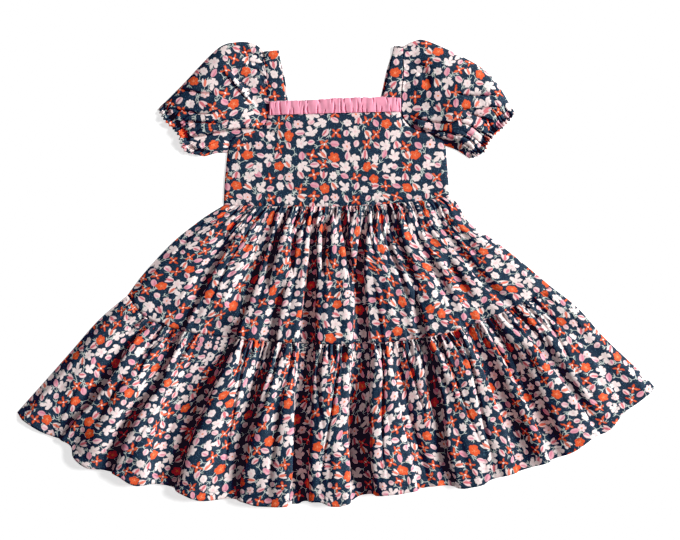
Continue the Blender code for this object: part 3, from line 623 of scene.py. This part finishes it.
# -------- sleeves
def sleeve(name, armhole, cap, under, wrist, folds, seed, place, finish):
    """A puffed tube, gathered at the armhole and drawn in by elastic near its frilled wrist end."""
    rows, top_columns, low_columns = 130, 190, 44
    plan = outlined(armhole, wrist, cap, under, top_columns, rows)
    along, across = shares(rows, top_columns)
    side, to_wrist = from_edges(plan)
    lengths, from_armhole = measured(plan)
    round_wrist, round_armhole = across * lengths[-1, -1], across * lengths[0, -1]
    swell = 1 - np.abs(2 * across - 1) ** 5
    underarm = rise((across - 0.5) / 0.2)
    reach = 0.36 * from_armhole[-1] * (1 - underarm) + 9 * underarm
    crown = 5.8 * rise(from_armhole / reach) * (1 - rise((along - 0.45) / 0.6))
    mouth = 6.4 * rise((along - 0.2) / 0.6)
    pleats = slits(round_wrist, to_wrist, seed, pitch=3.9, width=0.9, reach=28, depth=5.4)
    pleats += slits(round_wrist, to_wrist, seed + 1, pitch=9, width=1.2, reach=44, depth=3.2)
    tucks = slits(round_armhole, from_armhole, seed + 2, pitch=8, width=1.6, reach=34, depth=6.0)
    tucks *= rise(from_armhole / 3) * rise(1.6 - 3.2 * across)
    elastic = 3.2 * ridge(to_wrist - 7.5, 3.0)
    ripple = 1 + 0.14 * uneven(across * 5 + 9, along * 4, seed + 3)
    ripple += 0.1 * uneven(across * 13 + 5, along * 6, seed + 4)
    puffed = (1.4 + crown + mouth) * swell * ripple * pressed(plan, folds)
    height = not_below(puffed - (pleats + tucks + elastic) * swell**0.5, sharp=2)
    frill_pitch, wander = 5.2, uneven(across * 9, across * 0, seed + 5)
    frill = 1.5 * np.sin(round_wrist * 2 * math.pi / frill_pitch + 2 * wander)
    outward = plan[-1] - plan[-2]
    outward = outward / np.linalg.norm(outward, axis=1, keepdims=True)
    free = rise(from_armhole / 10) * rise(side / 8) * rise(to_wrist / 30)
    moved = plan + downhill(plan, puffed) * free[..., None]
    moved += (frill * rise(1 - to_wrist / 6))[..., None] * outward[None]
    top = raised(moved, front_floor(side) + height)
    places = np.linspace(0, 1, low_columns + 2)[1:-1]
    column = (1 - places) * (top_columns - 1)
    near = np.floor(column).astype(int)
    part = (column - near)[None, :, None]
    low = plan[:, near] * (1 - part) + plan[:, np.minimum(near + 1, top_columns - 1)] * part
    low_z = BACK_LIES + 0.25 + 0.25 * uneven(low[..., 0] / 12 + 40, low[..., 1] / 12 + 40, seed + 6)
    points = np.concatenate([top, raised(low, low_z), top[:, :1]], axis=1)
    below = np.concatenate([plan[:, -1:], low, plan[:, :1]], axis=1)
    spread = flattened(top, 1.04 * plan, rounds=200)
    cut = np.concatenate([grained(spread, place), grained(below, place, 90)], axis=1)
    round_below = np.concatenate([lengths[-1, -1:], lengths[-1, -1] * (1 - places), [0.0]])
    edges = np.concatenate([
        np.stack([round_wrist, to_wrist], axis=-1),
        np.stack(np.broadcast_arrays(round_below[None], from_edges(below)[1]), axis=-1),
    ], axis=1)
    return shell(name + "_cloth", points, cut, finish, edges, seam=top_columns - 1)


# -------- finishes
class Value:
    """A number, vector or colour in a finish. Sums on it add the nodes that work them out."""

    def __init__(self, tree, socket=None):
        self.tree = tree
        self.socket = socket

    def node(self, kind, settings=None, inputs=(), out=0):
        """Adds a node: its type, its settings, then the values or links of its sockets."""
        made = self.tree.nodes.new("ShaderNode" + kind)
        for name, setting in (settings or {}).items():
            if name == "stops":
                ramp = made.color_ramp
                while len(ramp.elements) < len(setting):
                    ramp.elements.new(0.5)
                for element, (position, colour) in zip(ramp.elements, setting):
                    element.position = position
                    element.color = (*colour, 1)
            elif name == "steps":
                made.color_ramp.interpolation = setting
            else:
                setattr(made, name, setting)
        given = inputs.items() if isinstance(inputs, dict) else enumerate(inputs)
        for place, value in given:
            socket = made.inputs[place]
            if isinstance(value, Value):
                self.tree.links.new(value.socket, socket)
            elif isinstance(value, tuple) and len(value) < len(socket.default_value):
                socket.default_value = (*value, 1)
            else:
                socket.default_value = value
        return Value(self.tree, made.outputs[out])

    def math(self, operation, *others):
        return self.node("Math", {"operation": operation}, (self, *others))

    def vector(self, operation, *others):
        return self.node("VectorMath", {"operation": operation}, (self, *others))

    def faded(self, share):
        """This colour, or vector, times a number."""
        return self.node("VectorMath", {"operation": "SCALE"}, {0: self, "Scale": share})

    def mix(self, below, above):
        """Puts the colour above over the colour below where this mask is 1."""
        return self.node("Mix", {"data_type": "RGBA"}, {0: self, 6: below, 7: above}, 2)

    def __add__(self, other):
        return self.math("ADD", other)

    __radd__ = __add__

    def __sub__(self, other):
        return self.math("SUBTRACT", other)

    def __rsub__(self, other):
        return self.node("Math", {"operation": "SUBTRACT"}, (other, self))

    def __mul__(self, other):
        return self.math("MULTIPLY", other)

    __rmul__ = __mul__

    def __truediv__(self, other):
        return self.math("DIVIDE", other)

    def __rtruediv__(self, other):
        return self.node("Math", {"operation": "DIVIDE"}, (other, self))

    def __pow__(self, other):
        return self.math("POWER", other)

    def size(self):
        return self.math("ABSOLUTE")

    def parts(self):
        """The x, y and z of a vector, or the red, green and blue of a colour."""
        split = self.node("SeparateXYZ", {}, (self,))
        return [Value(self.tree, split.socket.node.outputs[k]) for k in range(3)]

    def inside(self, soft=0.3):
        """A mask of where this distance is above nothing, with a soft edge of so many millimetres."""
        return self.node("Math", {"operation": "MULTIPLY_ADD", "use_clamp": True}, (self, 1 / soft, 0.5))

    def steps(self, *stops):
        """Picks one colour for each band of this number."""
        return self.node("ValToRGB", {"stops": stops, "steps": "CONSTANT"}, (self,))


def tint(*everyday):
    """A dye's linear colour from its everyday red, green and blue, each over 10."""
    return tuple(((c / 255 + 0.055) / 1.055) ** 2.4 for c in everyday)


NAVY = tint(49, 62, 76)
SPECK = tint(80, 114, 136)
THREAD = tint(40, 58, 80)
ORANGE = tint(226, 88, 52)
FLAME = tint(236, 101, 64)
PEACH = tint(244, 150, 110)
CREAM = tint(248, 231, 229)
BLUSH = tint(246, 212, 213)
ROSE = tint(226, 136, 160)
DEEP_ROSE = tint(216, 94, 106)
LILAC = tint(236, 174, 186)
SAGE = tint(212, 220, 214)
PINK = tint(255, 158, 184)
PALE_PINK = tint(255, 182, 204)
DEEP_PINK = tint(226, 100, 136)
REPEAT = 26.8  # pitch of the printed motifs
TURN, DIAGONAL = 6.283, 0.7071  # a whole turn in radians, and the sine of 45 degrees
BLOSSOM_SPAN, BUD_SPAN = 10.0, 12.0  # a band holds 0 to 1, so sizes go through it as shares of these


def scattered(cut, shift, loose):
    """One motif to each square of the repeat: its own x and y, turned at random, and its lot, 0 to 1.

    Its layer is shifted by shares of the repeat. The third number of shift sets the layer's chances.
    """
    placed = cut.vector("MULTIPLY_ADD", (1 / REPEAT,) * 3, shift)
    square = placed.vector("FLOOR")
    i, j, _ = square.parts()
    spread_evenly = i * 0.7549 + j * 0.5698
    pick = (spread_evenly + shift[2]).math("FRACT")
    marked = square.vector("ADD", (0.0, 0.0, 10 * shift[2]))
    by_chance = marked.node("TexWhiteNoise", {"noise_dimensions": "3D"}, {"Vector": marked}, 1)
    off_x, off_y, turned = by_chance.parts()
    x, y, _ = placed.vector("SUBTRACT", square).parts()
    x = (x - 0.5) * REPEAT - (off_x - 0.5) * loose
    y = (y - 0.5) * REPEAT - (off_y - 0.5) * loose
    c, s = (turned * TURN).math("COSINE"), (turned * TURN).math("SINE")
    return x * c + y * s, y * c - x * s, pick


def blossoms(below, cut, shift, kinds):
    """Open flowers, each a ring of petals round a small eye.

    A kind is where its share of the flowers starts and its number of petals; the length and half
    width of a petal, and the sizes of the line on it and of the flower's heart, in millimetres; how
    sharp its petals are, how much longer they are on one side; then its petal, line and eye colours.
    """
    x, y, pick = scattered(cut, shift, loose=4.5)
    y = y * 1.1
    span = BLOSSOM_SPAN
    petals, long, wide = pick.steps(*[(k[0], (k[1] / span, k[2] / span, k[3] / span)) for k in kinds]).parts()
    line, heart, _ = pick.steps(*[(k[0], (k[4] / span, k[5] / span, 0.0)) for k in kinds]).parts()
    sharp, skew, _ = pick.steps(*[(k[0], (k[6], k[7], 0.0)) for k in kinds]).parts()
    petal_dye, line_dye, eye_dye = (pick.steps(*[(k[0], k[place]) for k in kinds]) for place in (8, 9, 10))
    away = (x * x + y * y) ** 0.5
    off_axis = y.math("ARCTAN2", x).math("PINGPONG", math.pi / (petals * span))
    along, aside = away * off_axis.math("COSINE"), away * off_axis.math("SINE")
    share = along / (long * span * (x / away * skew + 1))
    petal = share ** 0.8 * (1 - share) ** sharp * (wide * (2.3 * span)) - aside - 0.2
    face = petal.math("MAXIMUM", heart * span - away).inside()
    stroke = (0.3 + 0.05 * along - aside).inside(0.4) * (line * span - along).inside(0.8)
    eye = (1.2 - away).inside(0.5)
    return face.mix(below, eye.mix((0.75 * stroke).mix(petal_dye, line_dye), eye_dye))


def leaves(along, aside, middle, half):
    """A pair of narrow leaves on a stem. They leave it at 45 degrees, from where along is 0.

    middle is the distance to the middle of a leaf, and half is half its length.
    """
    tip = (along + aside) * DIAGONAL - middle
    thin = (aside - along) * DIAGONAL + tip * tip * 0.08
    return (1 - ((tip / half) ** 2 + (thin / 0.5) ** 2) ** 0.5).inside(0.6)


def buds(below, cut, shift, kinds):
    """Buds and tulips of pointed petals, most on a stem with two leaves.

    A kind is where its share starts, its length and half width, how far its petals splay, the half
    width of its heart and how far that sits aside, 1 for a stem, then its petals' and heart's colours.
    """
    x, y, pick = scattered(cut, shift, loose=4.5)
    span = BUD_SPAN
    long, wide, splay = pick.steps(*[(k[0], (k[1] / span, k[2] / span, k[3])) for k in kinds]).parts()
    heart, aside, has_stem = pick.steps(
        *[(k[0], (k[4] / span, 0.5 + k[5] / span, k[6])) for k in kinds]
    ).parts()
    petal_dye, heart_dye = (pick.steps(*[(k[0], k[place]) for k in kinds]) for place in (7, 8))
    long = long * span
    from_base = x + long * 0.5
    share = (from_base + splay * y.size()) / long
    over = (y.size() - splay * from_base).size()
    body = share ** 0.55 * (1 - share) ** 0.6 * (wide * (2.25 * span)) - over - 0.2
    inner = from_base / (long * 0.92)
    off_heart = (y - (aside - 0.5) * span).size()
    core = inner ** 0.55 * (1 - inner) ** 0.75 * (heart * (7 / 3 * span)) - off_heart - 0.2
    bent = y - from_base * from_base * 0.04
    stem = (0.3 - bent.size()).inside(0.4) * (0.2 - from_base).inside() * (from_base + 8.0).inside()
    leaf = leaves(from_base + 6.6, bent.size(), middle=2.4, half=2.4)
    with_stem = (stem.math("MAXIMUM", leaf) * has_stem).mix(below, SAGE)
    painted = (core.inside(0.7) * 0.85).mix(petal_dye, heart_dye)
    return body.math("MAXIMUM", core).inside().mix(with_stem, painted)


def sprigs(below, cut, shift):
    """Thin bent stems with a few narrow leaves."""
    x, y, _ = scattered(cut, shift, loose=7.0)
    bent = y - 0.045 * x * x + 0.9
    stem = (0.3 - bent.size()).inside(0.4) * (6.0 - x.size()).inside()
    leaf = leaves(x.size() - 2.4, bent.size(), middle=2.2, half=2.3)
    return stem.math("MAXIMUM", leaf).mix(below, SAGE)


BLOSSOMS = (
    (0.0, 5, 6.8, 3.1, 3.4, 4.2, 0.45, 0.04, FLAME, PEACH, PEACH),
    (0.13, 4, 7.8, 2.4, 5.6, 1.8, 0.8, 0.1, ORANGE, PEACH, CREAM),
    (0.31, 5, 7.6, 2.7, 3.2, 2.2, 0.42, 0.2, CREAM, BLUSH, BLUSH),
    (0.49, 7, 5.5, 2.1, 1.2, 3.8, 0.45, 0.06, CREAM, BLUSH, BLUSH),
    (0.60, 4, 7.8, 2.4, 5.4, 1.8, 0.8, 0.16, ORANGE, PEACH, CREAM),
    (0.74, 4, 7.6, 3.0, 2.8, 2.3, 0.42, 0.3, CREAM, BLUSH, CREAM),
    (0.90, 6, 5.9, 2.2, 2.1, 3.7, 0.45, 0.1, BLUSH, CREAM, PEACH),
)
BUDS = (
    (0.0, 10.8, 3.6, 0.0, 1.5, 1.0, 1.0, BLUSH, ROSE),
    (0.14, 8.1, 3.7, 0.0, 1.7, 0.8, 0.0, BLUSH, LILAC),
    (0.28, 11.4, 2.4, 0.42, 2.1, 0.0, 1.0, CREAM, FLAME),
    (0.44, 10.8, 3.6, 0.0, 1.5, -1.0, 1.0, LILAC, ROSE),
    (0.58, 7.9, 3.6, 0.0, 1.5, 0.7, 0.0, BLUSH, ROSE),
    (0.70, 11.4, 2.4, 0.42, 2.0, 0.0, 1.0, BLUSH, DEEP_ROSE),
    (0.86, 10.3, 3.4, 0.0, 1.5, 0.9, 1.0, BLUSH, DEEP_ROSE),
)


def fresh(name):
    """A new material, and the start of the values in it."""
    made = bpy.data.materials.new(name)
    made.use_nodes = True
    return made, Value(made.node_tree)


def unrolled(start, name):
    """One of a cloth's two maps, in millimetres."""
    return start.node("UVMap", {"uv_map": name}).vector("MULTIPLY", (1 / MM, 1 / MM, 0.0))


def mottled(cut, scale, detail, out=0):
    """Soft blotches all over a cloth: their strength, or where out is 1 their colour."""
    sizes = {"Vector": cut, "Scale": scale, "Detail": detail}
    return cut.node("TexNoise", {"noise_dimensions": "2D"}, sizes, out)


def woven(cut):
    """The fine relief of a plain weave of about 2.4 threads a millimetre."""
    u, v, _ = cut.parts()
    warp, weft = (u * 15.0).math("SINE"), (v * 15.0).math("SINE")
    return warp * weft


def stitching(start, row, pitch):
    """A row of stitches, so many millimetres in from an edge: where thread is, and the dip it pulls."""
    along, inward, _ = unrolled(start, "edges").parts()
    off_row = (inward - row).size()
    dash = 0.42 - ((along / pitch).math("FRACT") - 0.5).size()
    thread = (0.26 - off_row).inside(0.25) * (dash * pitch).inside(0.3)
    dip = (1 - off_row / 1.6).math("MAXIMUM", 0.0)
    return thread, dip


def finished(made, colour, relief, rough):
    """Joins a colour and a relief in millimetres to the shader of a cotton."""
    shader = made.node_tree.nodes["Principled BSDF"]
    bump = relief.node("Bump", {}, {"Strength": 1.0, "Distance": MM, "Height": relief})
    made.node_tree.links.new(colour.socket, shader.inputs["Base Color"])
    made.node_tree.links.new(bump.socket, shader.inputs["Normal"])
    shader.inputs["Roughness"].default_value = rough
    shader.inputs["Specular IOR Level"].default_value = 0.12
    return made


def printed_cotton():
    """Plain woven cotton printed with small flowers, with a stitched hem where its cut has one."""
    made, start = fresh("printed_cotton")
    cut = unrolled(start, "cut")
    sway = mottled(cut, scale=0.012, detail=1.0, out=1)
    brush = mottled(cut, scale=0.28, detail=1.0, out=1)
    swayed = sway.vector("MULTIPLY_ADD", (12.0, 12.0, 0.0), cut)
    painted = brush.vector("MULTIPLY_ADD", (1.1, 1.1, 0.0), swayed)
    ragged = brush.vector("MULTIPLY_ADD", (2.4, 2.4, 0.0), swayed)
    speck, washed = mottled(cut, scale=0.75, detail=2.0), mottled(cut, scale=0.3, detail=4.0)
    colour = (speck - 0.66).inside(0.05).mix(NAVY, SPECK)
    colour = sprigs(colour, swayed, (0.27, 0.22, 0.31))
    colour = sprigs(colour, swayed, (0.77, 0.74, 0.57))
    colour = buds(colour, painted, (0.5, 0.0, 0.13), BUDS)
    colour = buds(colour, painted, (0.0, 0.5, 0.71), BUDS)
    colour = blossoms(colour, ragged, (0.5, 0.5, 0.43), BLOSSOMS)
    colour = blossoms(colour, ragged, (0.0, 0.0, 0.89), BLOSSOMS)
    thread, dip = stitching(start, row=11.0, pitch=2.6)
    colour = (thread * 0.8).mix(colour, THREAD)
    colour = colour.faded(washed * 0.3 + 0.85)
    relief = woven(cut) * 0.006 + washed * 0.03 + thread * 0.1 - dip * 0.25
    return finished(made, colour, relief, rough=0.85)


def pink_cotton():
    """Plain woven pink cotton, a little uneven in its dye, stitched close to its gathered edge."""
    made, start = fresh("pink_cotton")
    cut = unrolled(start, "cut")
    washed = mottled(cut, scale=0.25, detail=4.0)
    thread, dip = stitching(start, row=1.2, pitch=2.4)
    colour = (thread * 0.7).mix(washed.mix(PINK, PALE_PINK), DEEP_PINK)
    relief = woven(cut) * 0.006 + washed * 0.04 + thread * 0.08 - dip * 0.2
    return finished(made, colour, relief, rough=0.8)


printed, pink = printed_cotton(), pink_cotton()
cloths = {
    "skirt_front": upper_tier(printed),
    "tier_front": lower_tier(printed),
    "neck_ruffle": ruffle(pink),
    "strap_left": strap("strap_left", LEFT_ARMHOLE, LEFT_STRAP_INSIDE, printed),
    "strap_right": strap("strap_right", RIGHT_ARMHOLE, RIGHT_STRAP_INSIDE, printed),
    "sleeve_left": sleeve(
        "sleeve_left", LEFT_ARMHOLE, LEFT_CAP, LEFT_UNDER, LEFT_WRIST, LEFT_SLEEVE_FOLDS,
        seed=71, place=(-330, 120), finish=printed,
    ),
    "sleeve_right": sleeve(
        "sleeve_right", RIGHT_ARMHOLE, RIGHT_CAP, RIGHT_UNDER, RIGHT_WRIST, RIGHT_SLEEVE_FOLDS,
        seed=81, place=(410, 150), finish=printed,
    ),
}
cloths["skirt_back"], cloths["tier_back"] = back_tiers(printed)
cloths["bodice_front"], cloths["bodice_back"] = bodice(printed)
for node, cloth in cloths.items():
    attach(cloth, "root")
    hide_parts(node)


# -------- table, light and camera
def table_top():
    """A wide white table that glows a little, so that it stays pale all over."""
    reach, white, glow = 12.0, 0.86, 0.62
    mesh = bpy.data.meshes.new("table")
    corners = [(-reach, -reach, 0), (reach, -reach, 0), (reach, reach, 0), (-reach, reach, 0)]
    mesh.from_pydata(corners, [], [(0, 1, 2, 3)])
    paint = fresh("table")[0]
    shader = paint.node_tree.nodes["Principled BSDF"]
    shader.inputs["Base Color"].default_value = (white, white, white, 1)
    shader.inputs["Roughness"].default_value = 0.8
    shader.inputs["Emission Color"].default_value = (1, 1, 1, 1)
    shader.inputs["Emission Strength"].default_value = glow
    mesh.materials.append(paint)
    table = bpy.data.objects.new("table", mesh)
    bpy.context.scene.collection.objects.link(table)


def lamp(name, place, size, power):
    """A round lamp, so many metres wide, that points to the dress."""
    light = bpy.data.lights.new(name, "AREA")
    light.shape = "DISK"
    light.size = size
    light.energy = power
    made = bpy.data.objects.new(name, light)
    made.location = place
    made.rotation_euler = (-Vector(place)).to_track_quat("-Z", "Y").to_euler()
    bpy.context.scene.collection.objects.link(made)


table_top()
lamp("window", (6.3, 1.6, 3.9), size=3.2, power=900)
lamp("ceiling", (0.0, 0.2, 2.6), size=1.8, power=3)
world = bpy.data.worlds.new("room")
world.use_nodes = True
walls = world.node_tree.nodes["Background"]
walls.inputs["Color"].default_value = (1, 1, 1, 1)
walls.inputs["Strength"].default_value = 0.12
bpy.context.scene.world = world
view = bpy.context.scene.view_settings
view.view_transform = "Standard"
view.use_curve_mapping = True
view.curve_mapping.extend = "HORIZONTAL"
# The darkest tones of the cloth are shown darker still, each colour by its own amount.
darkest_tone, darkest_shown = 0.024, (0.006, 0.0035, 0.008)
for curve, shown in zip(view.curve_mapping.curves, darkest_shown):
    curve.points[0].location = (darkest_tone, shown)
view.curve_mapping.update()

optics = bpy.data.cameras.new("camera")
optics.lens = 50
optics.sensor_width = 36
camera = bpy.data.objects.new("camera", optics)
camera.location = (0.005, 0.0031, 1.189)
bpy.context.scene.collection.objects.link(camera)
bpy.context.scene.camera = camera
